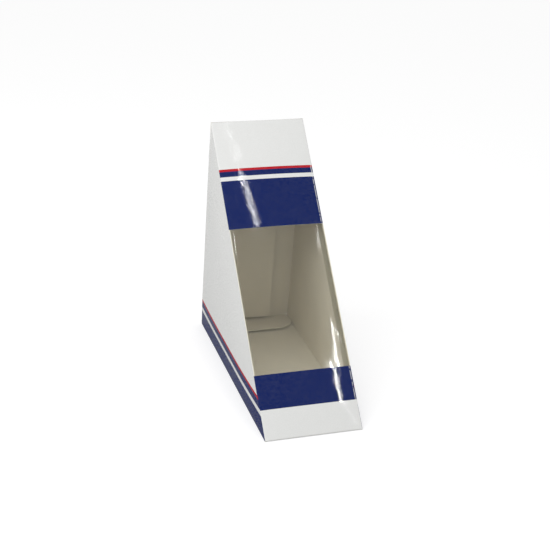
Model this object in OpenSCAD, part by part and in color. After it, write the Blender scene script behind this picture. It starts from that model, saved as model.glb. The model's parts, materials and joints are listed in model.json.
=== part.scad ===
// Sandwich wedge carton: one folded sheet of printed board with a clear film window
// in its sloping front, and a back panel that swings up as a lid and tucks in at the base.
// The table is z = 0, the window faces -Y, and the two triangular walls stand at x = -/+ pack_w / 2.

/* [Pack] */
// Width across the two side walls
pack_w = 52; // [44:1:80]
// Depth of the base, from the front crease line to the back panel
pack_d = 123; // [112:1:150]
// Height of the back, from the table to the top crease line
pack_h = 123; // [112:1:150]

/* [Board] */
// Thickness of the folded board
board = 0.4; // [0.3:0.05:0.8]
// Gap between edges and panels that only rest against each other
rest_gap = 0.05; // [0.03:0.01:0.1]

/* [Window] */
// Distance up the slope from the front crease line to the window
window_from = 34; // [28:1:60]
// Length of the window along the slope
window_len = 78.2; // [30:0.2:90]
// Thickness of the clear film
film = 0.1; // [0.05:0.01:0.2]
// Lap of the film behind the board above and below the window
film_lap = 6; // [3:0.5:9]
// Width of the film's glued strips along the side walls
film_strip = 8; // [4:0.5:14]

/* [Tuck flap] */
// Length of the tuck flap, from the lid's lower crease to its free edge
tuck_len = 18; // [10:1:26]
// Radius of the tuck flap's free corners
tuck_r = 9; // [3:1:9]
// Gap between each side of the tuck flap and the wall
tuck_side = 0.4; // [0.2:0.1:1]
// Tilt of the tuck flap past the least that lets it swing out over the base
tuck_spare = 0.6; // [0.3:0.1:3]

/* [Dust flaps] */
// Width of each dust flap, from the wall's back crease to its free edge
dust_w = 40; // [20:1:42]
// Height of the dust flaps' lower edges
dust_low = 3; // [2.8:0.1:8]
// Height up to which the free edges stand straight
dust_high = 62; // [30:1:70]
// Slope of the dust flaps' upper edges
dust_slant = 45; // [30:1:50]
// Swing of the left flap past the least that clears the right one
dust_spare = 2.4; // [1:0.2:4]

/* [Glue flaps] */
// Width of each glue flap folded under the base
glue_w = 14; // [8:1:20]
// Distance of the glue flaps from the front crease line and from the back
glue_end = 6; // [3:1:12]
// Cut at the glue flaps' free corners
glue_cut = 5; // [2:1:7]

/* [Print] */
// Length along the slope of the blue band under the window
low_band = 17.8; // [8:0.2:24]
// Length along the slope of the blue band over the window
high_band = 27.1; // [10:0.1:36]
// White gap between a wide band and the thin blue stripe
stripe_gap = 2.3; // [1:0.1:4]
// Thin blue stripe on the front
front_stripe = 3; // [1:0.1:5]
// Red line that edges each thin blue stripe
red_line = 1.4; // [0.6:0.1:3]
// Height of the blue band along the foot of each wall
wall_band = 9.5; // [4:0.1:14]
// Thin blue stripe on the walls
wall_stripe = 3.6; // [1:0.1:5]

/* [Hidden] */
$fn = 48;
EPS = 1; // how far a cutting shape runs past what it cuts
PAPER = [0.93, 0.93, 0.92];
NAVY = [0.13, 0.17, 0.38];
RED = [0.75, 0.12, 0.18];
CLEAR = [0.8, 0.84, 0.85, 0.35];

// Slope of the front panel, and the round of the front crease
lean = atan(pack_h / pack_d);
nose_y = board / tan(lean / 2);
y_back = (pack_d - nose_y + board) / 2;
y_front = y_back - pack_d;
slope_len = norm([pack_d, pack_h]);

// The walls end in front of the lid, and the base under it
y_wall = y_back - board - rest_gap;
z_wall = (y_wall - y_front) * tan(lean);
base_top = 2 * board;
inner_w = pack_w - 2 * board;

// The lid hangs from a round crease as thick as the board
y_hinge = y_back - board / 2;
z_hinge = (y_hinge - y_front) * tan(lean) - board / 2 / cos(lean);
z_lid = base_top + rest_gap;
tuck_w = inner_w - 2 * tuck_side;
tuck_tilt = asin(tuck_len / 2 / (z_hinge - z_lid)) + tuck_spare;

// The left dust flap swings in just past the free edge of the right one
dust_swing = atan((board + rest_gap) / (pack_w - dust_w)) + dust_spare;
dust_top = dust_high + dust_w * tan(dust_slant);

// Places of the printed fields: along the slope, then up the walls
low_from = window_from - low_band;
window_to = window_from + window_len;
high_to = window_to + high_band;
stripe_from = high_to + stripe_gap;
red_from = stripe_from + front_stripe;
wall_stripe_from = wall_band + stripe_gap;
wall_red_from = wall_stripe_from + wall_stripe;

// Frame of the front panel: x across, y up the slope, z outwards from its printed face
module on_slope() {
    translate([0, y_front, 0]) rotate([lean, 0, 0]) children();
}

// A section drawn across the slope (x, depth below the printed face), run along the slope
module along_slope(from, to) {
    on_slope() translate([0, from, 0]) rotate([-90, 0, 0])
        linear_extrude(to - from) children();
}

// A profile drawn as (y, z), run across the full width
module across(w) {
    translate([-w / 2, 0, 0]) rotate([90, 0, 90]) linear_extrude(w) children();
}

// Waste outside a right-angled crease: what a round of the board's thickness leaves of a square corner
module crease_waste() {
    difference() {
        translate([-EPS, -EPS]) square(board + EPS);
        translate([board, board]) circle(board);
    }
}

// Outline of a wall: a triangle with its front tip rounded as the front crease is
module wall_outline() {
    circle_y = y_front + nose_y;
    translate([circle_y, board]) circle(board);
    polygon([
        [circle_y, 0],
        [y_wall, 0],
        [y_wall, z_wall],
        [circle_y - board * sin(lean), board + board * cos(lean)]
    ]);
}

// Front panel and both walls, as one sheet bent over the two sloping creases
module sleeve() {
    deep = slope_len;
    intersection() {
        along_slope(-EPS, slope_len + EPS) difference() {
            union() {
                translate([-pack_w / 2, board]) square([pack_w, deep]);
                translate([-inner_w / 2, 0]) square([inner_w, 2 * board]);
                for (s = [-1, 1]) translate([s * inner_w / 2, board]) circle(board);
            }
            translate([-inner_w / 2, board]) square([inner_w, deep + EPS]);
        }
        across(pack_w) wall_outline();
    }
}

module window_cut() {
    on_slope() translate([-inner_w / 2, window_from, -board - EPS])
        cube([inner_w, window_len, board + 2 * EPS]);
}

// Base panel, which lies on the glue flaps between the walls and carries the lid's lower edge
module base_panel() {
    base_w = inner_w - 2 * rest_gap;
    translate([-base_w / 2, y_front + nose_y, board])
        cube([base_w, y_back - y_front - nose_y, board]);
}

// Right glue flap, folded in from the wall's foot
module glue_flap() {
    front = y_front + nose_y + glue_end;
    back = y_back - glue_end;
    linear_extrude(board) polygon([
        [pack_w / 2 - board / 2, front],
        [pack_w / 2 - board, front],
        [pack_w / 2 - glue_w, front + glue_cut],
        [pack_w / 2 - glue_w, back - glue_cut],
        [pack_w / 2 - board, back],
        [pack_w / 2 - board / 2, back]
    ]);
}

module glue_crease_waste() {
    front = y_front + nose_y + glue_end;
    translate([pack_w / 2, front, 0]) mirror([1, 0, 0]) rotate([90, 0, 0]) mirror([0, 0, 1])
        linear_extrude(y_back - glue_end - front) crease_waste();
}

// Right dust flap as it lies flat, its crease on x = 0 and its printed face on y = 0
module dust_flap() {
    rotate([90, 0, 0]) linear_extrude(board) polygon([
        [-board / 2, dust_low],
        [-dust_w, dust_low],
        [-dust_w, dust_high],
        [-board / 2, dust_top]
    ]);
}

module dust_crease_waste() {
    translate([pack_w / 2, y_wall, dust_low]) mirror([1, 0, 0]) mirror([0, 1, 0])
        linear_extrude(dust_top - dust_low - board) crease_waste();
}

// The whole folded sheet, apart from the lid
module folded_sheet() {
    difference() {
        union() {
            sleeve();
            base_panel();
            for (m = [0, 1]) mirror([m, 0, 0]) glue_flap();
            translate([pack_w / 2, y_wall, 0]) dust_flap();
            translate([-pack_w / 2, y_wall, 0]) rotate([0, 0, -dust_swing])
                mirror([1, 0, 0]) dust_flap();
        }
        window_cut();
        for (m = [0, 1]) mirror([m, 0, 0]) {
            glue_crease_waste();
            dust_crease_waste();
        }
    }
}

// The outer half of the front panel between two distances up the slope
module front_field(from, to) {
    on_slope() translate([-pack_w / 2 - EPS, from, -board / 2])
        cube([pack_w + 2 * EPS, to - from, board / 2 + EPS]);
}

// The outer half of both walls between two heights, behind the front panel's own fields
module wall_field(from, to) {
    difference() {
        for (m = [0, 1]) mirror([m, 0, 0])
            translate([pack_w / 2 - board / 2, y_front - EPS, from])
                cube([board / 2 + EPS, y_wall - y_front + 2 * EPS, to - from]);
        front_field(-slope_len, 2 * slope_len);
    }
}

module navy_fields() {
    front_field(low_from, window_from);
    front_field(window_to, high_to);
    front_field(stripe_from, red_from);
    wall_field(-EPS, wall_band);
    wall_field(wall_stripe_from, wall_red_from);
}

module red_fields() {
    front_field(red_from, red_from + red_line);
    wall_field(wall_red_from, wall_red_from + red_line);
}

module carton() {
    color(PAPER) difference() {
        folded_sheet();
        navy_fields();
        red_fields();
    }
    color(NAVY) intersection() {
        folded_sheet();
        navy_fields();
    }
    color(RED) intersection() {
        folded_sheet();
        red_fields();
    }
}

// Tuck flap in its own plane: x across, y from the crease to the rounded free edge
module tuck_outline() {
    translate([-tuck_w / 2, 0]) square([tuck_w, tuck_len - tuck_r]);
    translate([-tuck_w / 2 + tuck_r, 0]) square([tuck_w - 2 * tuck_r, tuck_len]);
    for (s = [-1, 1]) translate([s * (tuck_w / 2 - tuck_r), tuck_len - tuck_r]) circle(tuck_r);
}

// Back panel, round at the hinge crease, with the tuck flap folded in at its foot
module lid() {
    color(PAPER) {
        translate([-pack_w / 2, y_back - board, z_lid + board])
            cube([pack_w, board, z_hinge - z_lid - board]);
        translate([-pack_w / 2, y_hinge, z_hinge]) rotate([0, 90, 0])
            cylinder(h = pack_w, r = board / 2);
        translate([0, y_back - board, z_lid + board]) {
            across(tuck_w) intersection() {
                circle(board);
                polygon([
                    [0, 0],
                    [2 * board, 0],
                    [2 * board, -2 * board],
                    [-2 * board * tan(tuck_tilt), -2 * board]
                ]);
            }
            rotate([-tuck_tilt, 0, 0]) mirror([0, 1, 0]) translate([0, 0, -board])
                linear_extrude(board) tuck_outline();
        }
    }
}

// Clear film, bent along the sloping creases and glued behind the board all round the window
module window_film() {
    color(CLEAR) along_slope(window_from - film_lap, window_to + film_lap) difference() {
        translate([-inner_w / 2, board]) square([inner_w, film_strip]);
        translate([-inner_w / 2 + film, board + film])
            square([inner_w - 2 * film, film_strip]);
    }
}

carton();
lid();
window_film();
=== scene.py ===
"""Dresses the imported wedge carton: folded printed board, a back lid and a clear film window."""

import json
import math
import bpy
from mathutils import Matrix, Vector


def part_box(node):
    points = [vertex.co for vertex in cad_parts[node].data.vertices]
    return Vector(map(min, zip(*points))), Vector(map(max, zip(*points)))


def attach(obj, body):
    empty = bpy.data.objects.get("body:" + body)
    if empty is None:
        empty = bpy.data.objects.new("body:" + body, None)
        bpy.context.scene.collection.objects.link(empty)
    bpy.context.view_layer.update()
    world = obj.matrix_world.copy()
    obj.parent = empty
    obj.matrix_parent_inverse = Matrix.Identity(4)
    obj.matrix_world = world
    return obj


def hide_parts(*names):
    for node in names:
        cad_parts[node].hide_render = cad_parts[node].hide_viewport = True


bl_info = {
    "name": "Windowed wedge carton",
    "version": (1, 0, 0),
    "blender": (4, 5, 0),
    "location": "3D View > Sidebar > Wedge carton",
    "description": "Builds the folded board, the back lid, the clear film and the studio",
    "category": "Object",
}

import bmesh
import bpy
from bpy.props import FloatProperty, FloatVectorProperty, PointerProperty
from mathutils import Matrix, Vector

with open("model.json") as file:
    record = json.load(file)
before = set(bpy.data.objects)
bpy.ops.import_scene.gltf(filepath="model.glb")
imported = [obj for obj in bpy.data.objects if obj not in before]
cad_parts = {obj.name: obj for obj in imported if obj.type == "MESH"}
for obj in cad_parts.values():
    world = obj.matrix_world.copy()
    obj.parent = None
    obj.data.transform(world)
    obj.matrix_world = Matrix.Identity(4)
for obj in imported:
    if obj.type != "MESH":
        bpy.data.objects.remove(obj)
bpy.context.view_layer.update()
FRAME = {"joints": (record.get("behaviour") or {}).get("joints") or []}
CARTON_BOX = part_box("carton")
LID_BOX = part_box("lid")
HINGE = FRAME["joints"][0]

MM = 0.001
REST_GAP = 0.05  # mm between edges and panels that only rest against each other
CLEAR = 0.02  # mm that keeps two sheets of board from sharing a face
TUCK_SPARE = 0.6  # degrees of tilt past the least that lets the tuck flap swing out
DUST_SWING = 4.5  # degrees by which the left dust flap leans in past the right one
LAMP_REACH = 0.8  # m from the pack to the strip lamps
SKIN_WHITE, SKIN_NAVY, SKIN_RED, RAW, CUT = range(5)


class WedgeSizes(bpy.types.PropertyGroup):
    """Sizes of the folded board and its window"""

    width: FloatProperty(
        name="Width",
        description="Width across the two side walls",
        default=CARTON_BOX[1].x - CARTON_BOX[0].x,
        unit="LENGTH",
    )
    depth: FloatProperty(
        name="Depth",
        description="Depth of the base, from the front crease line to the back",
        default=0.123,
        unit="LENGTH",
    )
    height: FloatProperty(
        name="Height",
        description="Height of the back, from the table to the top crease line",
        default=0.123,
        unit="LENGTH",
    )
    board: FloatProperty(
        name="Board",
        description="Thickness of the folded board",
        default=0.0004,
        unit="LENGTH",
    )
    crease: FloatProperty(
        name="Crease round",
        description="Outer radius of the bent creases",
        default=0.00048,
        unit="LENGTH",
    )
    window_from: FloatProperty(
        name="Window from",
        description="Distance up the slope from the front crease line to the window",
        default=0.034,
        unit="LENGTH",
    )
    window_len: FloatProperty(
        name="Window length",
        description="Length of the window along the slope",
        default=0.0782,
        unit="LENGTH",
    )
    bow_top: FloatProperty(
        name="Bow over the window",
        description="How far the front panel bows out over the window",
        default=0.0009,
        unit="LENGTH",
    )
    bow_low: FloatProperty(
        name="Bow under the window",
        description="How far the front panel bows out under the window",
        default=0.0005,
        unit="LENGTH",
    )
    bulge_left: FloatProperty(
        name="Left bulge",
        description="How far the left wall bulges out",
        default=0.0010,
        unit="LENGTH",
    )
    bulge_right: FloatProperty(
        name="Right bulge",
        description="How far the right wall bulges out",
        default=0.0012,
        unit="LENGTH",
    )


class WedgeFlaps(bpy.types.PropertyGroup):
    """Sizes of the tuck flap, the dust flaps and the glue flaps"""

    tuck_len: FloatProperty(
        name="Tuck flap",
        description="Length of the tuck flap from the lid's lower crease",
        default=0.018,
        unit="LENGTH",
    )
    tuck_round: FloatProperty(
        name="Tuck corners",
        description="Radius of the tuck flap's free corners",
        default=0.009,
        unit="LENGTH",
    )
    tuck_side: FloatProperty(
        name="Tuck side gap",
        description="Gap between each side of the tuck flap and the wall",
        default=0.0004,
        unit="LENGTH",
    )
    tuck_curl: FloatProperty(
        name="Tuck curl",
        description="How far the tuck flap's right corner curls up",
        default=0.0011,
        unit="LENGTH",
    )
    dust_w: FloatProperty(
        name="Dust flap width",
        description="Width of each dust flap",
        default=0.040,
        unit="LENGTH",
    )
    dust_low: FloatProperty(
        name="Dust flap foot",
        description="Height of the dust flaps' lower edges",
        default=0.003,
        unit="LENGTH",
    )
    dust_high: FloatProperty(
        name="Dust flap side",
        description="Height up to which the dust flaps' free edges stand straight",
        default=0.062,
        unit="LENGTH",
    )
    glue_w: FloatProperty(
        name="Glue flap width",
        description="Width of each glue flap under the base",
        default=0.014,
        unit="LENGTH",
    )
    glue_end: FloatProperty(
        name="Glue flap ends",
        description="Distance of the glue flaps from the front crease line and the back",
        default=0.006,
        unit="LENGTH",
    )
    glue_cut: FloatProperty(
        name="Glue flap cut",
        description="Cut at the glue flaps' free corners",
        default=0.005,
        unit="LENGTH",
    )


class WedgePrint(bpy.types.PropertyGroup):
    """Widths of the printed bands"""

    low_band: FloatProperty(
        name="Low band",
        description="Length along the slope of the blue band under the window",
        default=0.0178,
        unit="LENGTH",
    )
    high_band: FloatProperty(
        name="High band",
        description="Length along the slope of the blue band over the window",
        default=0.0271,
        unit="LENGTH",
    )
    gap: FloatProperty(
        name="White gap",
        description="White gap between a wide band and the thin stripe",
        default=0.0023,
        unit="LENGTH",
    )
    front_stripe: FloatProperty(
        name="Front stripe",
        description="Thin blue stripe on the front",
        default=0.0030,
        unit="LENGTH",
    )
    red_line: FloatProperty(
        name="Red line",
        description="Red line along each thin stripe",
        default=0.0014,
        unit="LENGTH",
    )
    wall_band: FloatProperty(
        name="Wall band",
        description="Height of the blue band along the foot of each wall",
        default=0.0095,
        unit="LENGTH",
    )
    wall_stripe: FloatProperty(
        name="Wall stripe",
        description="Thin blue stripe on the walls",
        default=0.0036,
        unit="LENGTH",
    )


class WedgeFilm(bpy.types.PropertyGroup):
    """Sizes of the clear film"""

    film: FloatProperty(
        name="Film",
        description="Thickness of the clear film",
        default=0.0001,
        unit="LENGTH",
    )
    lap: FloatProperty(
        name="Lap",
        description="Lap of the film behind the board above and below the window",
        default=0.006,
        unit="LENGTH",
    )
    strip: FloatProperty(
        name="Side strips",
        description="Width of the film's glued strips along the walls",
        default=0.008,
        unit="LENGTH",
    )
    bend: FloatProperty(
        name="Bend",
        description="How wide the film's bend along each wall is",
        default=0.0016,
        unit="LENGTH",
    )
    ripple: FloatProperty(
        name="Ripple",
        description="Height of the film's ripples",
        default=0.00028,
        unit="LENGTH",
    )


def tint(name, description, colour):
    return FloatVectorProperty(
        name=name, description=description, default=colour, subtype="COLOR", size=3, min=0, max=1
    )


class WedgeColours(bpy.types.PropertyGroup):
    """Colours of the inks, the board and the film"""

    white: tint("White", "Coated white of the board", (0.80, 0.805, 0.79))
    navy: tint("Navy", "Navy ink", (0.005, 0.016, 0.112))
    red: tint("Red", "Red ink", (0.50, 0.012, 0.022))
    raw: tint("Inside", "Uncoated inside of the board", (0.77, 0.715, 0.605))
    cut: tint("Cut edge", "Cut edge of the board", (0.86, 0.84, 0.70))
    floor: tint("Floor", "Studio floor", (0.52, 0.52, 0.52))


def in_mm(group):
    """The group's lengths in millimetres, by name"""
    return {k: getattr(group, k) / MM for k in group.__annotations__}


class Wedge:
    """The places of the folded board, in millimetres in the row frame"""

    def __init__(self, scene):
        self.__dict__.update(in_mm(scene.wedge_sizes))
        self.__dict__.update(in_mm(scene.wedge_flaps))
        self.__dict__.update(in_mm(scene.wedge_print))
        self.__dict__.update(in_mm(scene.wedge_film))
        lean = math.atan2(self.height, self.depth)
        self.cos, self.sin = math.cos(lean), math.sin(lean)
        self.half = self.width / 2
        self.back = LID_BOX[1].y / MM
        self.front = self.back - self.depth
        self.wall_back = CARTON_BOX[1].y / MM - self.board - REST_GAP
        self.slope_end = (self.wall_back + CLEAR - self.front) / self.cos
        self.window_to = self.window_from + self.window_len
        high_to = self.window_to + self.high_band
        self.front_bands = [
            (self.window_from - self.low_band, SKIN_WHITE),
            (self.window_from, SKIN_NAVY),
            (self.window_to, SKIN_WHITE),
            (high_to, SKIN_NAVY),
            *self.stripes(high_to, self.front_stripe),
        ]
        self.wall_bands = [
            (self.wall_band, SKIN_NAVY),
            *self.stripes(self.wall_band, self.wall_stripe),
        ]

    def stripes(self, start, stripe):
        """Limits of the white gap, the thin stripe and the red line past a wide band"""
        return [
            (start + self.gap, SKIN_WHITE),
            (start + self.gap + stripe, SKIN_NAVY),
            (start + self.gap + stripe + self.red_line, SKIN_RED),
        ]

    def slope(self, x, s, d=0.0):
        """A point x across, s up the slope and d below the printed face"""
        return Vector(
            (x, self.front + s * self.cos + d * self.sin, s * self.sin - d * self.cos)
        )

    def crease_y(self, z):
        """Where a wall starts at a height, just behind the sloping crease"""
        return self.front + z * self.cos / self.sin + self.crease / self.sin

    def crease_s(self, z):
        """How far up the slope a wall's height meets the crease"""
        return (z + 0.5 * self.crease * self.cos) / self.sin

    def bow(self, s):
        """How far the front stands proud of its flat place, halfway across"""
        up = smooth((s - 20) / 85)
        end = 1 - 0.62 * smooth((s - 146) / 27)
        foot = 0.3 + 0.7 * smooth(s / 18)
        return (self.bow_low * (1 - up) * foot + self.bow_top * up) * end

    def proud(self, x, s):
        """How far the front stands proud of its flat place; under the window it bends near its sides"""
        power = 4 - 2 * smooth((s - 20) / 85)
        return self.bow(s) * (1 - abs(x / (self.half - self.crease)) ** power)

    def film_proud(self, x, s):
        """How far the film stands proud of its flat place, down to its bend along each wall"""
        low, high = self.bow(self.window_from), self.bow(self.window_to)
        lap, run = self.window_from - self.lap, self.window_len + 2 * self.lap
        edge, u = self.half - self.board, abs(x)
        for _ in range(8):
            u = abs(x) + clamp(1 - (edge - u) / self.bend) ** 3 * self.bend / 6
        drop = clamp(1 - (edge - u) / self.bend) ** 3 * self.bend / 6
        return (low + (high - low) * (s - lap) / run) * (1 - (x / edge) ** 2) - drop

    def bulge(self, side, y, z):
        """How far a wall stands out of its flat place"""
        high = self.bulge_left if side < 0 else self.bulge_right
        off = (y - self.crease_y(z)) * self.sin
        return (
            high
            * math.sin(math.pi / 2 * clamp(z / 19))
            * math.sin(math.pi / 2 * clamp(off / 26))
            * (0.45 + 0.55 * math.sin(math.pi / 2 * clamp((self.wall_back - y) / 34)))
        )


def clamp(v, lo=0.0, hi=1.0):
    return max(lo, min(hi, v))


def smooth(v):
    v = clamp(v)
    return v * v * (3 - 2 * v)


def band(bands, place, beyond=SKIN_WHITE):
    """The ink at a place, from a list of upper limits"""
    for limit, ink in bands:
        if place < limit:
            return ink
    return beyond


def steps(marks, longest):
    """The marks in order, with even steps between them that are no longer than asked"""
    marks = sorted(marks)
    out = [marks[0]]
    for a, b in zip(marks, marks[1:]):
        n = max(1, math.ceil((b - a) / longest - 1e-6))
        out += [a + (b - a) * (k + 1) / n for k in range(n)]
    return out


def add_sheet(bm, outer, inner, skin):
    """A closed piece of board between two equal grids of points; skin(i, j) inks an outer cell"""
    rows, cols = len(outer), len(outer[0])
    a = [[bm.verts.new(p * MM) for p in row] for row in outer]
    b = [[bm.verts.new(p * MM) for p in row] for row in inner]
    made = []

    def face(vs, ink):
        f = bm.faces.new(vs)
        f.material_index = ink
        f.smooth = True
        made.append(f)

    for i in range(rows - 1):
        for j in range(cols - 1):
            face((a[i][j], a[i][j + 1], a[i + 1][j + 1], a[i + 1][j]), skin(i, j))
            face((b[i][j], b[i + 1][j], b[i + 1][j + 1], b[i][j + 1]), RAW)
    for i in range(rows - 1):
        for j in (0, cols - 1):
            face((a[i][j], a[i + 1][j], b[i + 1][j], b[i][j]), CUT)
    for j in range(cols - 1):
        for i in (0, rows - 1):
            face((a[i][j], a[i][j + 1], b[i][j + 1], b[i][j]), CUT)
    bmesh.ops.recalc_face_normals(bm, faces=made)


def board_piece(name, bm, body, node):
    """Turns a finished bmesh of board into a piece that rides on a body"""
    bmesh.ops.remove_doubles(bm, verts=bm.verts, dist=1e-8)
    mesh = bpy.data.meshes.new(name)
    bm.to_mesh(mesh)
    bm.free()
    for maker in (
        lambda: ink_material("coated_white", colours().white, 0.0),
        lambda: ink_material("navy_ink", colours().navy, 0.85),
        lambda: ink_material("red_ink", colours().red, 0.6),
        raw_material,
        cut_material,
    ):
        mesh.materials.append(maker())
    mesh.set_sharp_from_angle(angle=math.radians(38))
    obj = bpy.data.objects.new(name, mesh)
    bpy.context.scene.collection.objects.link(obj)
    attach(obj, body)
    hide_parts(node)
    return obj


def colours():
    return bpy.context.scene.wedge_colours


def new_node(tree, kind, name="", **values):
    """A node of a tree, with its name and its plain settings"""
    n = tree.nodes.new(kind)
    n.name = n.label = name or n.name
    for key, value in values.items():
        setattr(n, key, value)
    return n


def wire(tree, pairs):
    """Links or values for input sockets"""
    for socket, value in pairs:
        if isinstance(value, bpy.types.NodeSocket):
            tree.links.new(value, socket)
        else:
            socket.default_value = value


def maths(tree, operation, *values, clamped=False):
    n = new_node(tree, "ShaderNodeMath", operation=operation, use_clamp=clamped)
    wire(tree, zip(n.inputs, values))
    return n.outputs[0]


def noise(tree, name, vector, scale, detail=2.0, roughness=0.5):
    n = new_node(tree, "ShaderNodeTexNoise", name)
    values = {"Vector": vector, "Scale": scale, "Detail": detail, "Roughness": roughness}
    wire(tree, [(n.inputs[key], value) for key, value in values.items()])
    return n.outputs["Fac"]


def bumped(tree, height, strength, distance):
    """The normal that a height gives"""
    n = new_node(tree, "ShaderNodeBump")
    values = {"Height": height, "Strength": strength, "Distance": distance}
    wire(tree, [(n.inputs[key], value) for key, value in values.items()])
    return n.outputs[0]


def opaque(tree, out, colour, roughness, specular, normal):
    """The surface of board or print"""
    shader = new_node(tree, "ShaderNodeBsdfPrincipled")
    wire(
        tree,
        [
            (shader.inputs["Base Color"], colour),
            (shader.inputs["Roughness"], roughness),
            (shader.inputs["Specular IOR Level"], specular),
            (shader.inputs["Normal"], normal),
            (out.inputs["Surface"], shader.outputs[0]),
        ],
    )


def scaled(colour, factor):
    """An opaque colour, lighter or darker by a factor"""
    return tuple(min(1, c * factor) for c in colour) + (1.0,)


def blend_colours(tree, factor, a, b, blend_type="MIX"):
    n = new_node(tree, "ShaderNodeMix", data_type="RGBA", blend_type=blend_type)
    wire(tree, [(n.inputs[0], factor), (n.inputs[6], a), (n.inputs[7], b)])
    return n.outputs[2]


def group_tree(name, inputs, outputs):
    """A shader node group with named sockets, built once"""
    tree = bpy.data.node_groups.new(name, "ShaderNodeTree")
    for label, kind, value in inputs:
        s = tree.interface.new_socket(label, in_out="INPUT", socket_type=kind)
        if value is not None:
            s.default_value = value
    for label, kind in outputs:
        tree.interface.new_socket(label, in_out="OUTPUT", socket_type=kind)
    ins = new_node(tree, "NodeGroupInput")
    outs = new_node(tree, "NodeGroupOutput")
    return tree, ins.outputs, outs.inputs


def coat_group():
    """Peel of the gloss coat: a height for the bump, a changing roughness, and mottles"""
    name = "Gloss coat peel"
    if name in bpy.data.node_groups:
        return bpy.data.node_groups[name]
    tree, i, o = group_tree(
        name,
        [
            ("Vector", "NodeSocketVector", None),
            ("Peel Scale", "NodeSocketFloat", 1300.0),
            ("Roughness", "NodeSocketFloat", 0.035),
            ("Change", "NodeSocketFloat", 0.02),
        ],
        [
            ("Height", "NodeSocketFloat"),
            ("Roughness", "NodeSocketFloat"),
            ("Mottle", "NodeSocketFloat"),
            ("Gloss", "NodeSocketFloat"),
        ],
    )
    fine = noise(tree, "Peel", i["Vector"], i["Peel Scale"], 1.0)
    broad = noise(tree, "Board waves", i["Vector"], 120.0)
    patch = noise(tree, "Handled patches", i["Vector"], 260.0, 4.0)
    grain = noise(tree, "Gloss mottle", i["Vector"], 1900.0, 0.0)
    height = maths(tree, "MULTIPLY_ADD", broad, 4.0, fine)
    shine = maths(tree, "MULTIPLY_ADD", grain, 6.0, -2.5, clamped=True)
    gloss = maths(tree, "MULTIPLY_ADD", shine, 0.28, 0.02)
    spread = maths(tree, "SUBTRACT", patch, 0.5)
    rough = maths(tree, "MULTIPLY_ADD", spread, i["Change"], i["Roughness"])
    results = {"Height": height, "Roughness": rough, "Mottle": patch, "Gloss": gloss}
    wire(tree, [(o[key], value) for key, value in results.items()])
    return tree


def crease_highlight_and_crack_group():
    """Painted highlight of the fold and cracked coat along the right crease, as a broken line of given width
    and place
    """
    name = "Crease wear"
    if name in bpy.data.node_groups:
        return bpy.data.node_groups[name]
    tree, i, o = group_tree(
        name,
        [
            ("Vector", "NodeSocketVector", None),
            ("Half Width", "NodeSocketFloat", 0.026),
            ("Inset", "NodeSocketFloat", 0.0009),
            ("Line", "NodeSocketFloat", 0.00035),
            ("Broken", "NodeSocketFloat", 0.36),
        ],
        [("Mask", "NodeSocketFloat")],
    )
    # The mask is a painted highlight of the right crease, together with cracked coat.
    split = new_node(tree, "ShaderNodeSeparateXYZ")
    wire(tree, [(split.inputs[0], i["Vector"])])
    breaks = noise(tree, "Breaks", i["Vector"], 700.0, 5.0)
    centre = maths(tree, "SUBTRACT", i["Half Width"], i["Inset"])
    off = maths(tree, "ABSOLUTE", maths(tree, "SUBTRACT", split.outputs["X"], centre))
    near = maths(tree, "SUBTRACT", 1.0, maths(tree, "DIVIDE", off, i["Line"]), clamped=True)
    break_up = maths(tree, "SUBTRACT", breaks, i["Broken"])
    highlight_and_cracking = maths(tree, "MULTIPLY", break_up, 9.0, clamped=True)
    wire(tree, [(o["Mask"], maths(tree, "MULTIPLY", near, highlight_and_cracking, clamped=True))])
    return tree


def fibre_group():
    """Pressed fibres of bare board: a tone from 0 to 1 and a height for the bump"""
    name = "Board fibres"
    if name in bpy.data.node_groups:
        return bpy.data.node_groups[name]
    tree, i, o = group_tree(
        name,
        [
            ("Vector", "NodeSocketVector", None),
            ("Fibre Scale", "NodeSocketFloat", 900.0),
            ("Stretch", "NodeSocketVector", (1.0, 1.0, 1.0)),
        ],
        [("Tone", "NodeSocketFloat"), ("Height", "NodeSocketFloat")],
    )
    pull = new_node(tree, "ShaderNodeVectorMath", operation="MULTIPLY")
    wire(tree, [(pull.inputs[0], i["Vector"]), (pull.inputs[1], i["Stretch"])])
    fine = noise(tree, "Fibres", pull.outputs[0], i["Fibre Scale"], 6.0, 0.7)
    cloud = noise(tree, "Formation", i["Vector"], 90.0, 3.0)
    tone = maths(tree, "MULTIPLY_ADD", cloud, 0.5, maths(tree, "MULTIPLY", fine, 0.5))
    wire(tree, [(o["Tone"], tone), (o["Height"], fine)])
    return tree


def new_material(name):
    mat = bpy.data.materials.new(name)
    mat.use_nodes = True
    tree = mat.node_tree
    tree.nodes.clear()
    out = new_node(tree, "ShaderNodeOutputMaterial")
    place = new_node(tree, "ShaderNodeTexCoord").outputs["Object"]
    return mat, tree, out, place


def use_group(tree, group, **values):
    n = new_node(tree, "ShaderNodeGroup", group.name)
    n.node_tree = group
    wire(tree, [(n.inputs[key.replace("_", " ")], value) for key, value in values.items()])
    return n.outputs


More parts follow.
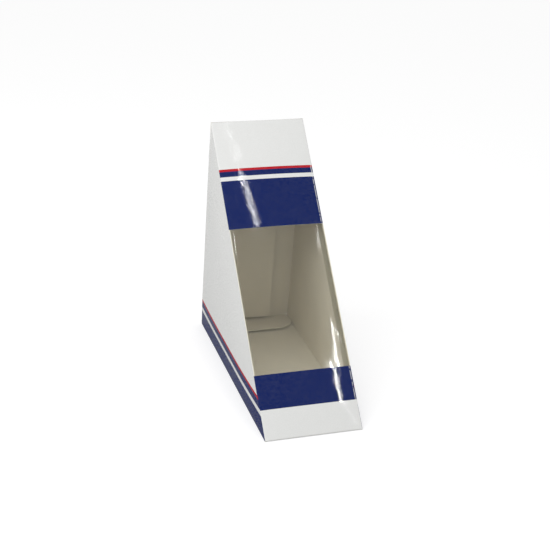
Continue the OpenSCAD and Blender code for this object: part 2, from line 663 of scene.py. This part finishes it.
def ink_material(name, colour, painted_highlight_and_crack):
    """Gloss-coated print on board. The third argument is how strongly the right crease gets its painted
    highlight and cracked coat.
    """
    if name in bpy.data.materials:
        return bpy.data.materials[name]
    mat, tree, out, place = new_material(name)
    coat = use_group(tree, coat_group(), Vector=place)
    skin = blend_colours(tree, coat["Mottle"], scaled(colour, 0.97), scaled(colour, 1))
    if painted_highlight_and_crack:
        half = bpy.context.scene.wedge_sizes.width / 2
        # Painted highlight of the right crease, mixed with cracked coat: a broken pale grey line blended
        # over the ink.
        highlight_and_cracking = use_group(tree, crease_highlight_and_crack_group(), Vector=place, Half_Width=half)
        amount = maths(tree, "MULTIPLY", highlight_and_cracking["Mask"], painted_highlight_and_crack)
        skin = blend_colours(tree, amount, skin, (0.74, 0.74, 0.72, 1.0))
    normal = bumped(tree, coat["Height"], 1.0, 0.0000075)
    opaque(tree, out, skin, coat["Roughness"], coat["Gloss"], normal)
    return mat


def raw_material():
    """Uncoated inside of the board, warm grey with pressed fibres"""
    name = "bare_board"
    if name in bpy.data.materials:
        return bpy.data.materials[name]
    mat, tree, out, place = new_material(name)
    colour = colours().raw
    fibre = use_group(
        tree, fibre_group(), Vector=place, Fibre_Scale=1100.0, Stretch=(1.0, 0.35, 0.35)
    )
    tone = blend_colours(tree, fibre["Tone"], scaled(colour, 0.90), scaled(colour, 1.08))
    rough = maths(tree, "MULTIPLY_ADD", fibre["Tone"], 0.2, 0.66)
    opaque(tree, out, tone, rough, 0.25, bumped(tree, fibre["Height"], 0.6, 0.00002))
    return mat


def cut_material():
    """Cut edge of the board, cream with fine fibres"""
    name = "cut_board"
    if name in bpy.data.materials:
        return bpy.data.materials[name]
    mat, tree, out, place = new_material(name)
    colour = colours().cut
    fibre = use_group(tree, fibre_group(), Vector=place, Fibre_Scale=2600.0)
    tone = blend_colours(tree, fibre["Tone"], scaled(colour, 0.85), scaled(colour, 1))
    opaque(tree, out, tone, 0.9, 0.2, bumped(tree, fibre["Height"], 0.8, 0.00002))
    return mat


def film_material():
    """Thin clear film: it lets light through and mirrors more at a low angle"""
    name = "clear_film_gloss"
    if name in bpy.data.materials:
        return bpy.data.materials[name]
    mat, tree, out, place = new_material(name)
    stretch = new_node(tree, "ShaderNodeMapping")
    wire(
        tree,
        [(stretch.inputs["Vector"], place), (stretch.inputs["Scale"], (1.0, 0.12, 0.12))],
    )
    pulls = noise(tree, "Fine pull lines", stretch.outputs[0], 420.0)
    clear = new_node(tree, "ShaderNodeBsdfTransparent")
    clear.inputs["Color"].default_value = (0.975, 0.98, 0.965, 1.0)
    mirror = new_node(tree, "ShaderNodeBsdfGlossy")
    wire(
        tree,
        [
            (mirror.inputs["Color"], (1.0, 1.0, 1.0, 1.0)),
            (mirror.inputs["Roughness"], 0.05),
            (mirror.inputs["Normal"], bumped(tree, pulls, 1.0, 0.000012)),
        ],
    )
    facing = new_node(tree, "ShaderNodeLayerWeight").outputs["Facing"]
    share = maths(tree, "MULTIPLY_ADD", maths(tree, "POWER", facing, 5.0), 0.97, 0.022)
    mix = new_node(tree, "ShaderNodeMixShader")
    wire(
        tree,
        [
            (mix.inputs[0], share),
            (mix.inputs[1], clear.outputs[0]),
            (mix.inputs[2], mirror.outputs[0]),
            (out.inputs["Surface"], mix.outputs[0]),
        ],
    )
    return mat


def arc(steps_n, turn, start=0.0):
    return [math.radians(start + turn * k / steps_n) for k in range(steps_n + 1)]


def front_section(w, s):
    """Points and outward directions (x, depth) across the front at one place up the slope"""
    r, flat = w.crease, w.half - w.crease
    out = [
        (-w.half + r * (1 - math.cos(a)), r * (1 - math.sin(a)), -math.cos(a), -math.sin(a))
        for a in arc(6, 90)
    ]
    n = 28
    for k in range(1, n):
        x = -flat + 2 * flat * k / n
        tilt = (w.proud(x - 0.1, s) - w.proud(x + 0.1, s)) / 0.2
        size = math.hypot(tilt, 1)
        out.append((x, -w.proud(x, s), tilt / size, -1 / size))
    right = [(-x, d, -nx, nd) for x, d, nx, nd in out[:7]]
    return out + right[::-1]


def front_panel(bm, w, from_s, to_s):
    """Front panel and its two sloping creases between two places up the slope"""
    marks = [from_s, to_s] + [m for m, _ in w.front_bands if from_s < m < to_s]
    marks += [w.crease_s(z) for z, _ in w.wall_bands if from_s < w.crease_s(z) < to_s]
    rows = steps(marks, 2.5)
    outer, inner = [], []
    for s in rows:
        back = w.board * w.sin / w.cos if s > w.slope_end - 1e-6 else 0.0
        section = front_section(w, s)
        outer.append([w.slope(x, s, d) for x, d, _, _ in section])
        inner.append(
            [w.slope(x - nx * w.board, s - back, d - nd * w.board) for x, d, nx, nd in section]
        )
    cols = len(outer[0]) - 1

    def ink(i, j):
        s = (rows[i] + rows[i + 1]) / 2
        z = s * w.sin
        if z < w.wall_bands[-1][0] and (j < 3 or j >= cols - 4):
            return band(w.wall_bands, z - 0.5 * w.crease * w.cos)
        return band(w.front_bands, s)

    add_sheet(bm, outer, inner, ink)


def wall(bm, w, side):
    """One triangular wall, from its foot crease to its sloping crease"""
    r = w.crease
    top = (w.wall_back - w.front - r / w.sin) * w.sin / w.cos - 0.4
    dust_top = w.dust_high + w.dust_w
    marks = [r, top, w.dust_low, w.dust_low + 0.02, dust_top, dust_top + 0.02]
    marks += [z for z, _ in w.wall_bands]
    rows = [(r * (1 - math.sin(a)), r * (1 - math.cos(a)), math.sin(a), -math.cos(a)) for a in arc(5, 90)]
    rows += [(0.0, z, 1.0, 0.0) for z in steps(marks, 2.5)[1:]]
    fractions = [k / 44 for k in range(45)]
    outer, inner = [], []
    for inset, z, nx, nz in rows:
        start = w.crease_y(z)
        held = w.dust_low < z < dust_top + 0.01
        end = w.wall_back - (r if held else CLEAR)
        a, b = [], []
        for f in fractions:
            y = start + (end - start) * f
            x = w.half - inset + w.bulge(side, y, z)
            a.append(Vector((side * x, y, z)))
            b.append(Vector((side * (x - nx * w.board), y, z - nz * w.board)))
        outer.append(a)
        inner.append(b)
    add_sheet(
        bm, outer, inner, lambda i, j: band(w.wall_bands, (rows[i][1] + rows[i + 1][1]) / 2)
    )


def window_rim(bm, w, side):
    """The wall's upper edge beside the window, cut along the sloping crease"""
    rows = steps([w.window_from, w.window_to], 3.0)
    lean_in = (0.0, 0.02, 0.07)
    places = (w.crease, 0.24, 0.04)
    outer = [[w.slope(side * (w.half - t), s, d) for d, t in zip(places, lean_in)] for s in rows]
    inner = [
        [w.slope(side * (w.half - w.board - t), s, d) for d, t in zip(places, lean_in)]
        for s in rows
    ]
    add_sheet(bm, outer, inner, lambda i, j: SKIN_WHITE)


def base_path(w):
    """Points and outward directions (y, z) from the front crease to the back, under the base"""
    r = w.crease - 0.06
    cz = r + CLEAR
    cy = w.front + cz * w.cos / w.sin + r / w.sin
    lean = math.degrees(math.atan2(w.cos, -w.sin))
    path = [
        (cy + r * math.cos(a), cz + r * math.sin(a), math.cos(a), math.sin(a))
        for a in arc(9, 270 - lean, lean)
    ]
    for y in steps([cy + 0.6, cy + 3, cy + w.glue_end, w.back], 4.0):
        rise = smooth((y - cy) / w.glue_end)
        path.append((y, CLEAR + (w.board - CLEAR) * rise, 0.0, -1.0))
    return path


def base_panel(bm, w):
    path = base_path(w)
    inner_half = w.half - w.board - REST_GAP
    outer, inner = [], []
    for k, (y, z, ny, nz) in enumerate(path):
        half = w.half - 0.1 if k < 10 else inner_half
        xs = [-half + 2 * half * c / 12 for c in range(13)]
        outer.append([Vector((x, y, z)) for x in xs])
        inner.append([Vector((x, y - ny * w.board, z - nz * w.board)) for x in xs])
    add_sheet(bm, outer, inner, lambda i, j: SKIN_WHITE)


def glue_flap(bm, w, side):
    front = w.front + w.board / math.tan(math.atan2(w.height, w.depth) / 2) + w.glue_end
    back = w.back - w.glue_end
    spans = steps([w.crease, w.board + w.glue_cut, w.glue_w], 2.0)
    outer, inner = [], []
    for t in spans:
        cut = w.glue_cut * clamp((t - w.board) / (w.glue_w - w.board))
        ys = [front + cut + (back - front - 2 * cut) * c / 24 for c in range(25)]
        outer.append([Vector((side * (w.half - t), y, 0.0)) for y in ys])
        inner.append([Vector((side * (w.half - t), y, w.board - CLEAR)) for y in ys])
    add_sheet(bm, outer, inner, lambda i, j: SKIN_WHITE)


def dust_flap(bm, w, side, swing):
    """A dust flap, bent in from a wall's back edge by a right angle and the swing"""
    r = w.crease
    cx, cy = w.half - r, w.wall_back - r
    turn = 90 + swing
    path = [
        (cx + r * math.cos(a), cy + r * math.sin(a), math.cos(a), math.sin(a), 0.0)
        for a in arc(6, turn)
    ]
    x0, y0, nx, ny, _ = path[-1]
    run = w.dust_w - r
    for t in steps([0, run], 2.0)[1:]:
        sag = 0.35 * math.sin(math.pi * t / run) * (1 if side < 0 else 0.3)
        path.append((x0 - ny * t - nx * sag, y0 + nx * t - ny * sag, nx, ny, t))
    outer, inner = [], []
    for x, y, nx, ny, t in path:
        top = w.dust_high + (run - t)
        zs = [w.dust_low + (top - w.dust_low) * k / 30 for k in range(31)]
        hold = 1 - smooth(t / 16)
        outs = [w.bulge(side, w.wall_back - r, z) * hold for z in zs]
        outer.append([Vector((side * (x + o), y, z)) for z, o in zip(zs, outs)])
        inner.append(
            [
                Vector((side * (x + o - nx * w.board), y - ny * w.board, z))
                for z, o in zip(zs, outs)
            ]
        )
    add_sheet(bm, outer, inner, lambda i, j: SKIN_WHITE)


def tuck_tilt(w):
    """Tilt of the tuck flap that lets its free edge swing out over the base"""
    drop = HINGE["pos_m"][2] / MM - 2 * w.board - REST_GAP
    return math.degrees(math.asin(w.tuck_len / 2 / drop)) + TUCK_SPARE


def lid_sheet(bm, w):
    """Back panel, round at its top crease, with the tuck flap folded in at its foot"""
    hy, hz = HINGE["pos_m"][1] / MM, HINGE["pos_m"][2] / MM
    bead = w.back - hy
    foot = 2 * w.board + REST_GAP
    lean = math.degrees(math.atan2(w.cos, -w.sin))
    rows = [
        (hy + bead * math.cos(a), hz + bead * math.sin(a), hy, hz, w.half, 0.0)
        for a in arc(9, -lean, lean)
    ]
    r = w.crease
    for z in reversed(steps([foot + r, 40, 80, hz - bead], 4.0)):
        rows.append((w.back, z, w.back - w.board, z, w.half, 0.0))
    tuck_half = w.half - w.board - w.tuck_side
    cy, cz = w.back - r, foot + r
    for a in arc(7, -90 - tuck_tilt(w)):
        c, s = math.cos(a), math.sin(a)
        rows.append((cy + r * c, cz + r * s, cy + (r - w.board) * c, cz + (r - w.board) * s, tuck_half, 0.0))
    y0, z0 = rows[-1][:2]
    run = w.tuck_len - r
    for t in steps([0, run - w.tuck_round, run - 4, run - 2, run - 0.8, run - 0.2, run], 1.0)[1:]:
        over = clamp((t - run + w.tuck_round) / w.tuck_round)
        half = tuck_half - w.tuck_round * (1 - math.sqrt(max(0.0, 1 - over * over)))
        y, z = y0 + s * t, z0 - c * t
        rows.append((y, z, y - c * w.board, z - s * w.board, half, t / run))
    outer, inner = [], []
    for y, z, yi, zi, half, out in rows:
        a, b = [], []
        for k in range(33):
            x = -half + 2 * half * k / 32
            share = abs(x) / w.half
            lift = out**2 * share**4 * w.tuck_curl * (1.0 if x > 0 else 0.3)
            a.append(Vector((x, y, z + lift)))
            b.append(Vector((x, yi, zi + lift)))
        outer.append(a)
        inner.append(b)
    add_sheet(bm, outer, inner, lambda i, j: SKIN_WHITE)


def film_tree(w):
    """Geometry nodes of the film: a flat sheet bent over both creases, bowed and rippled"""
    tree = bpy.data.node_groups.new("Film sheet", "GeometryNodeTree")
    sizes = {
        "Half Width": w.half - w.board - CLEAR,
        "Strip": w.strip,
        "From": w.window_from - w.lap,
        "Length": w.window_len + 2 * w.lap,
        "Depth": w.board + 0.03,
        "Bow Low": w.bow(w.window_from),
        "Bow High": w.bow(w.window_to),
        "Bend": w.bend,
        "Ripple": w.ripple,
        "Thickness": w.film,
    }
    for label, value in sizes.items():
        s = tree.interface.new_socket(label, in_out="INPUT", socket_type="NodeSocketFloat")
        s.default_value = value * MM
    tree.interface.new_socket("Geometry", in_out="OUTPUT", socket_type="NodeSocketGeometry")
    i = new_node(tree, "NodeGroupInput").outputs
    out = new_node(tree, "NodeGroupOutput")

    def m(operation, *values):
        return maths(tree, operation, *values)

    grid = new_node(tree, "GeometryNodeMeshGrid")
    counts = {"Size X": 1.0, "Size Y": 1.0, "Vertices X": 141, "Vertices Y": 121}
    wire(tree, [(grid.inputs[key], value) for key, value in counts.items()])
    split = new_node(tree, "ShaderNodeSeparateXYZ")
    wire(tree, [(split.inputs[0], new_node(tree, "GeometryNodeInputPosition").outputs[0])])
    reach = m("ADD", i["Half Width"], i["Strip"])
    u = m("MULTIPLY", m("MULTIPLY", split.outputs["X"], 2.0), reach)
    v = m("ADD", split.outputs["Y"], 0.5)
    s = m("MULTIPLY_ADD", v, i["Length"], i["From"])
    far = m("ABSOLUTE", u)
    side = m("SIGN", u)
    near = m("SMOOTH_MIN", far, i["Half Width"], i["Bend"])
    past = m("SMOOTH_MAX", m("SUBTRACT", far, i["Half Width"]), 0.0, i["Bend"])
    share = m("DIVIDE", near, i["Half Width"])
    crown = m("SUBTRACT", 1.0, m("MULTIPLY", share, share))
    rise = m("SUBTRACT", i["Bow High"], i["Bow Low"])
    bow = m("MULTIPLY", crown, m("MULTIPLY_ADD", v, rise, i["Bow Low"]))
    spot = new_node(tree, "ShaderNodeCombineXYZ")
    wire(tree, zip(spot.inputs, (u, m("MULTIPLY", s, 0.28), 0.013)))
    swell = m("SUBTRACT", noise(tree, "Ripples", spot.outputs[0], 70.0, 1.0), 0.5)
    ends = m("MULTIPLY", m("SUBTRACT", v, 0.07), m("SUBTRACT", 0.93, v))
    held = m("MULTIPLY", m("MAXIMUM", ends, 0.0), 4.6)
    wave = m("MULTIPLY", m("MULTIPLY", swell, i["Ripple"]), m("MULTIPLY", held, crown))
    depth = m("SUBTRACT", m("ADD", i["Depth"], past), bow)
    depth = m("ADD", depth, m("MULTIPLY", wave, 2.0))
    x = m("MULTIPLY", side, near)
    y = m("ADD", m("MULTIPLY_ADD", s, w.cos, w.front * MM), m("MULTIPLY", depth, w.sin))
    z = m("SUBTRACT", m("MULTIPLY", s, w.sin), m("MULTIPLY", depth, w.cos))
    place = new_node(tree, "ShaderNodeCombineXYZ")
    wire(tree, zip(place.inputs, (x, y, z)))
    put = new_node(tree, "GeometryNodeSetPosition")
    wire(tree, [(put.inputs["Geometry"], grid.outputs[0]), (put.inputs["Position"], place.outputs[0])])
    thick = new_node(tree, "GeometryNodeExtrudeMesh", mode="FACES")
    inwards = m("MULTIPLY", i["Thickness"], -1.0)
    push = {"Mesh": put.outputs[0], "Offset Scale": inwards, "Individual": False}
    wire(tree, [(thick.inputs[key], value) for key, value in push.items()])
    flip = new_node(tree, "GeometryNodeFlipFaces")
    wire(tree, [(flip.inputs[0], thick.outputs["Mesh"])])
    both = new_node(tree, "GeometryNodeJoinGeometry")
    tree.links.new(put.outputs[0], both.inputs[0])
    tree.links.new(flip.outputs[0], both.inputs[0])
    weld = new_node(tree, "GeometryNodeMergeByDistance")
    wire(tree, [(weld.inputs["Geometry"], both.outputs[0]), (weld.inputs["Distance"], 1e-6)])
    round_off = new_node(tree, "GeometryNodeSetShadeSmooth")
    wire(tree, [(round_off.inputs["Geometry"], weld.outputs[0])])
    real = new_node(tree, "GeometryNodeRealizeInstances")
    wire(tree, [(real.inputs[0], round_off.outputs[0])])
    finish = new_node(tree, "GeometryNodeSetMaterial")
    last = {"Geometry": real.outputs[0], "Material": film_material()}
    wire(tree, [(finish.inputs[key], value) for key, value in last.items()])
    wire(tree, [(out.inputs[0], finish.outputs[0])])
    return tree


def baked(name, tree):
    """The plain mesh that a geometry nodes tree makes, as an object of its own"""
    carrier = bpy.data.objects.new(name, bpy.data.meshes.new(name + "_carrier"))
    bpy.context.scene.collection.objects.link(carrier)
    mod = carrier.modifiers.new("Nodes", "NODES")
    mod.node_group = tree
    for item in tree.interface.items_tree:
        if item.in_out == "INPUT":
            mod[item.identifier] = item.default_value
    graph = bpy.context.evaluated_depsgraph_get()
    mesh = bpy.data.meshes.new_from_object(carrier.evaluated_get(graph))
    carrier.modifiers.remove(mod)
    bpy.data.objects.remove(carrier)
    mesh.name = name
    obj = bpy.data.objects.new(name, mesh)
    bpy.context.scene.collection.objects.link(obj)
    return obj


class WEDGE_OT_sleeve(bpy.types.Operator):
    """Builds the front panel, its creases and the two walls"""

    bl_idname = "wedge.sleeve"
    bl_label = "Front and walls"

    def execute(self, context):
        w = Wedge(context.scene)
        bm = bmesh.new()
        start = base_path(w)[0]
        front_panel(bm, w, (start[0] - w.front) / w.cos, w.window_from)
        front_panel(bm, w, w.window_to, w.slope_end)
        for side in (-1, 1):
            wall(bm, w, side)
            window_rim(bm, w, side)
        board_piece("printed_sleeve", bm, "pack", "carton")
        return {"FINISHED"}


class WEDGE_OT_base(bpy.types.Operator):
    """Builds the base panel and the glue flaps under it"""

    bl_idname = "wedge.base"
    bl_label = "Base"

    def execute(self, context):
        w = Wedge(context.scene)
        bm = bmesh.new()
        base_panel(bm, w)
        for side in (-1, 1):
            glue_flap(bm, w, side)
        board_piece("base_and_glue_flaps", bm, "pack", "carton")
        return {"FINISHED"}


class WEDGE_OT_dust_flaps(bpy.types.Operator):
    """Builds the two dust flaps behind the walls"""

    bl_idname = "wedge.dust_flaps"
    bl_label = "Dust flaps"

    def execute(self, context):
        w = Wedge(context.scene)
        bm = bmesh.new()
        dust_flap(bm, w, 1, 0.0)
        dust_flap(bm, w, -1, DUST_SWING)
        board_piece("dust_flaps", bm, "pack", "carton")
        return {"FINISHED"}


class WEDGE_OT_lid(bpy.types.Operator):
    """Builds the back panel with its tuck flap"""

    bl_idname = "wedge.lid"
    bl_label = "Back lid"

    def execute(self, context):
        bm = bmesh.new()
        lid_sheet(bm, Wedge(context.scene))
        board_piece("back_lid_sheet", bm, "back_lid", "lid")
        return {"FINISHED"}


class WEDGE_OT_film(bpy.types.Operator):
    """Builds the clear film behind the window"""

    bl_idname = "wedge.film"
    bl_label = "Window film"

    def execute(self, context):
        obj = baked("clear_window_sheet", film_tree(Wedge(context.scene)))
        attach(obj, "pack")
        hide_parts("window_film")
        return {"FINISHED"}


EYE = Vector((-195.147, -526.478, 339.547)) * MM

# Name, the two places (x, s) that mirror its ends, width in m, watts, and whether the film mirrors it
STRIPS = (
    ("strip_left", (-10.3, 112.0), (-15.0, 146.0), 0.0035, 0.15, False),
    ("strip_upper", (-16.2, 150.0), (-17.4, 173.0), 0.014, 0.022, False),
    ("strip_right", (17.6, 16.0), (16.8, 34.0), 0.002, 0.18, False),
    ("strip_film", (19.6, 32.0), (20.4, 58.0), 0.0035, 0.06, True),
    ("strip_corner", (24.4, 34.5), (20.8, 56.0), 0.0012, 0.018, True),
    ("glint_left", (-24.1, 108.0), (-24.4, 100.0), 0.004, 0.07, True),
    ("glint_right", (22.6, 110.5), (21.7, 99.0), 0.006, 0.006, True),
    ("strip_foot", (22.4, 6.0), (18.0, 16.0), 0.003, 0.02, False),
)

# Name, centre, target and long side's direction, then size in m and watts
SOFT_LAMPS = (
    ("soft_key", (-0.26, -0.06, 0.36), (0.0, 0.0, 0.06), (1.0, 0.0, 0.0), 0.36, 0.60),
    ("side_fill", (-0.45, 0.06, 0.20), (-0.026, 0.02, 0.06), (0.0, 1.0, 0.0), 0.3, 0.17),
)
WORLD_LEVEL = 0.72  # what the backdrop gives to matt surfaces; it is seen and mirrored at 1
FLOOR_GLOW = 0.58  # lifts the floor towards the white backdrop where the camera sees it


def studio_camera():
    data = bpy.data.cameras.new("camera")
    data.sensor_width = 36.0
    data.lens = 78.97
    data.clip_start = 0.01
    cam = bpy.data.objects.new("camera", data)
    turn = (
        Matrix.Rotation(math.radians(-19.831), 4, "Z")
        @ Matrix.Rotation(math.radians(90 - 26.534), 4, "X")
        @ Matrix.Rotation(math.radians(4.327), 4, "Z")
    )
    cam.matrix_world = Matrix.Translation(EYE) @ turn
    bpy.context.scene.collection.objects.link(cam)
    bpy.context.scene.camera = cam


def mirrored_place(w, x, s, proud):
    """Where a lamp has to stand for a bowed sheet to mirror it to the camera at one place"""
    step = 0.2

    def point(px, ps):
        return w.slope(px, ps, -proud(px, ps)) * MM

    along = point(x, s + step) - point(x, s - step)
    across = point(x + step, s) - point(x - step, s)
    normal = across.cross(along).normalized()
    spot = point(x, s)
    ray = (spot - EYE).normalized()
    return spot + ray.reflect(normal) * LAMP_REACH, spot


def area_lamp(name, centre, target, along, wide, tall, watts):
    data = bpy.data.lights.new(name, "AREA")
    data.shape = "RECTANGLE"
    data.size, data.size_y = wide, tall
    data.energy = watts
    z = (centre - target).normalized()
    x = along.cross(z).normalized()
    y = z.cross(x)
    lamp = bpy.data.objects.new(name, data)
    lamp.matrix_world = Matrix.Translation(centre) @ Matrix((x, y, z)).transposed().to_4x4()
    bpy.context.scene.collection.objects.link(lamp)


def strip_lamp(w, name, low, high, wide, watts, proud):
    """A strip lamp that a bowed sheet mirrors between two places (x, s)"""
    a, spot_a = mirrored_place(w, *low, proud)
    b, spot_b = mirrored_place(w, *high, proud)
    area_lamp(name, (a + b) / 2, (spot_a + spot_b) / 2, b - a, wide, (b - a).length, watts)


def studio_floor():
    bm = bmesh.new()
    bmesh.ops.create_grid(bm, x_segments=1, y_segments=1, size=6.0)
    mesh = bpy.data.meshes.new("studio_floor")
    bm.to_mesh(mesh)
    bm.free()
    mesh.transform(Matrix.Translation((0, 0, -0.00003)))
    mat, tree, out, place = new_material("studio_floor")
    clouds = noise(tree, "Floor clouds", place, 6.0)
    tone = blend_colours(tree, clouds, scaled(colours().floor, 0.99), scaled(colours().floor, 1))
    matt = new_node(tree, "ShaderNodeBsdfDiffuse")
    wire(tree, [(matt.inputs["Color"], tone)])
    glow = new_node(tree, "ShaderNodeEmission")
    path = new_node(tree, "ShaderNodeLightPath")
    seen = maths(tree, "MAXIMUM", path.outputs["Is Camera Ray"], path.outputs["Is Transmission Ray"])
    wire(tree, [(glow.inputs["Strength"], maths(tree, "MULTIPLY", seen, FLOOR_GLOW))])
    both = new_node(tree, "ShaderNodeAddShader")
    wire(
        tree,
        [
            (both.inputs[0], matt.outputs[0]),
            (both.inputs[1], glow.outputs[0]),
            (out.inputs["Surface"], both.outputs[0]),
        ],
    )
    mesh.materials.append(mat)
    obj = bpy.data.objects.new("studio_floor", mesh)
    bpy.context.scene.collection.objects.link(obj)


def studio_world():
    world = bpy.data.worlds.new("studio")
    bpy.context.scene.world = world
    world.use_nodes = True
    tree = world.node_tree
    tree.nodes.clear()
    out = new_node(tree, "ShaderNodeOutputWorld")
    path = new_node(tree, "ShaderNodeLightPath")
    seen = maths(tree, "MAXIMUM", path.outputs["Is Camera Ray"], path.outputs["Is Glossy Ray"])
    seen = maths(tree, "MAXIMUM", seen, path.outputs["Is Transmission Ray"])
    level = maths(tree, "MULTIPLY_ADD", seen, 1.0 - WORLD_LEVEL, WORLD_LEVEL)
    back = new_node(tree, "ShaderNodeBackground")
    wire(
        tree,
        [
            (back.inputs["Color"], (1.0, 1.0, 1.0, 1.0)),
            (back.inputs["Strength"], level),
            (out.inputs["Surface"], back.outputs[0]),
        ],
    )


class WEDGE_OT_stage(bpy.types.Operator):
    """Sets up the camera, the floor, the lamps and the plain backdrop"""

    bl_idname = "wedge.stage"
    bl_label = "Studio"

    def execute(self, context):
        w = Wedge(context.scene)
        context.scene.view_settings.view_transform = "Standard"
        studio_camera()
        studio_floor()
        studio_world()
        for name, low, high, wide, watts, on_film in STRIPS:
            strip_lamp(w, name, low, high, wide, watts, w.film_proud if on_film else w.proud)
        for name, centre, target, along, size, watts in SOFT_LAMPS:
            area_lamp(name, Vector(centre), Vector(target), Vector(along), size, size, watts)
        return {"FINISHED"}


class WEDGE_PT_panel(bpy.types.Panel):
    """Lists the carton's sizes and the steps that build it"""

    bl_idname = "WEDGE_PT_panel"
    bl_label = "Wedge carton"
    bl_space_type = "VIEW_3D"
    bl_region_type = "UI"
    bl_category = "Wedge carton"

    def draw(self, context):
        layout = self.layout
        for name in GROUPS:
            box = layout.box()
            group = getattr(context.scene, name)
            for key in group.__annotations__:
                box.prop(group, key)
        for step in STEPS:
            layout.operator(step.bl_idname)


GROUPS = {
    "wedge_sizes": WedgeSizes,
    "wedge_flaps": WedgeFlaps,
    "wedge_print": WedgePrint,
    "wedge_film": WedgeFilm,
    "wedge_colours": WedgeColours,
}
STEPS = (
    WEDGE_OT_stage,
    WEDGE_OT_sleeve,
    WEDGE_OT_base,
    WEDGE_OT_dust_flaps,
    WEDGE_OT_lid,
    WEDGE_OT_film,
)


def register():
    for cls in (*GROUPS.values(), *STEPS, WEDGE_PT_panel):
        bpy.utils.register_class(cls)
    for name, cls in GROUPS.items():
        setattr(bpy.types.Scene, name, PointerProperty(type=cls))


def unregister():
    for name in GROUPS:
        delattr(bpy.types.Scene, name)
    for cls in reversed((*GROUPS.values(), *STEPS, WEDGE_PT_panel)):
        bpy.utils.unregister_class(cls)


def main():
    register()
    bpy.ops.wedge.stage()
    bpy.ops.wedge.sleeve()
    bpy.ops.wedge.base()
    bpy.ops.wedge.dust_flaps()
    bpy.ops.wedge.lid()
    bpy.ops.wedge.film()


if __name__ == "__main__":
    main()
